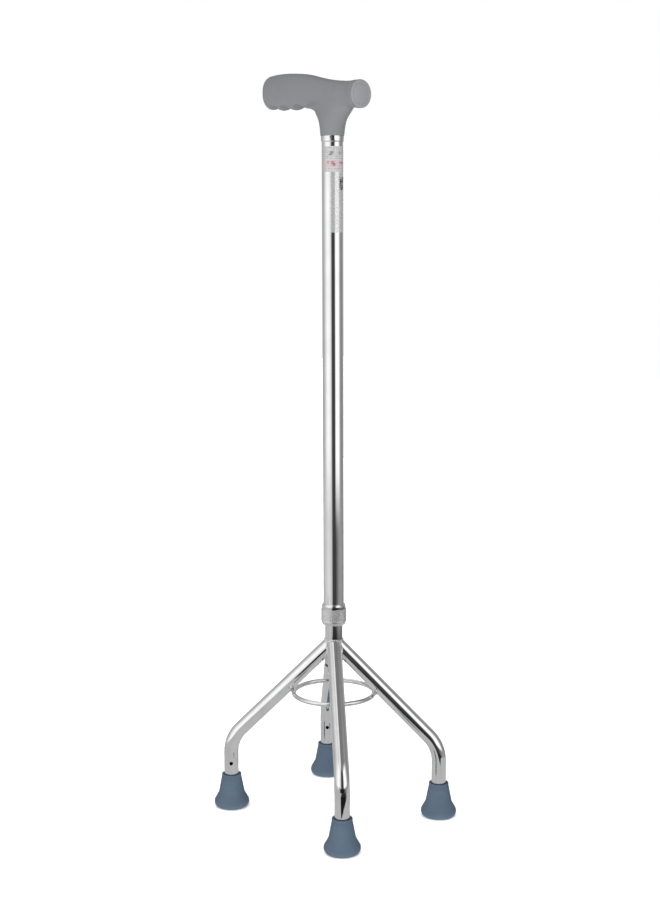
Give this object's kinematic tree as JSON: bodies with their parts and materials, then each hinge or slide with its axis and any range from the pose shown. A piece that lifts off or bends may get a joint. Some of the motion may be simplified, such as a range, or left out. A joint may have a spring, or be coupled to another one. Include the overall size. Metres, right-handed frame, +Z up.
{
  "type": "quad walking cane",
  "caption": "Height-adjustable walking cane with a T-handle with finger grooves, on a splayed base of bent tube legs with rubber feet and a brace ring.",
  "frame": {"origin": "on the ground at the centre of the four feet, under the shaft's axis", "axes": "+Z up along the shaft; +X forward, the way the handle's short nose points; +Y to the user's left"},
  "size_m": [0.2164, 0.184, 0.797],
  "materials": {
    "chrome_tube": "polished",
    "knurled_metal": "satin",
    "plated_steel": "gloss",
    "spring_steel": "satin",
    "grip_plastic": "satin",
    "cap_plastic": "satin",
    "foot_rubber": "matte",
    "black_plastic": "matte",
    "nylon": "satin",
    "label_paper": "satin",
    "clear_film": "gloss"
  },
  "bodies": {
    "base": {"leg_front_left": "chrome_tube", "leg_front_right": "chrome_tube", "leg_rear_left": "chrome_tube", "leg_rear_right": "chrome_tube", "foot_front_left": "foot_rubber", "foot_front_right": "foot_rubber", "foot_rear_left": "foot_rubber", "foot_rear_right": "foot_rubber", "foot_washer_front_left": "plated_steel", "foot_washer_front_right": "plated_steel", "foot_washer_rear_left": "plated_steel", "foot_washer_rear_right": "plated_steel", "brace_ring": "chrome_tube", "lower_tube": "chrome_tube", "lower_tube_plug": "black_plastic", "inner_tube_cap": "black_plastic", "snap_spring": "spring_steel"},
    "shaft": {"upper_tube": "chrome_tube", "threaded_sleeve": "chrome_tube", "handle_grip": "grip_plastic", "handle_nose_cap": "cap_plastic", "neck_ferrule": "chrome_tube", "tube_top_plug": "black_plastic", "neck_screw": "plated_steel", "info_label": "label_paper", "clear_film": "clear_film"},
    "collet": {"collet": "nylon"},
    "lock_nut": {"lock_nut": "knurled_metal"},
    "snap_button": {"snap_button": "plated_steel"}
  },
  "joints": [
    {"name": "height_slide", "type": "slide", "parent": "base", "child": "shaft", "axis": [0, 0, 1], "range_m": [0, 0.15]},
    {"name": "nut_turn", "type": "hinge", "parent": "collet", "child": "lock_nut", "pos_m": [0, 0, 0.2208], "axis": [0, 0, -1], "range_deg": [0, 540]},
    {"name": "collet_release", "type": "slide", "parent": "shaft", "child": "collet", "axis": [0, 0, -1], "range_m": [0, 0.00225]},
    {"name": "button_press", "type": "slide", "parent": "base", "child": "snap_button", "axis": [1, 0, 0], "range_m": [0, 0.004], "stiffness_N_per_m": 1500, "springref_m": -0.003, "deforming": ["snap_spring"]}
  ],
  "couplings": [
    {"joint": "nut_turn", "follows": "collet_release", "rad_per_m": 4188.8}
  ]
}
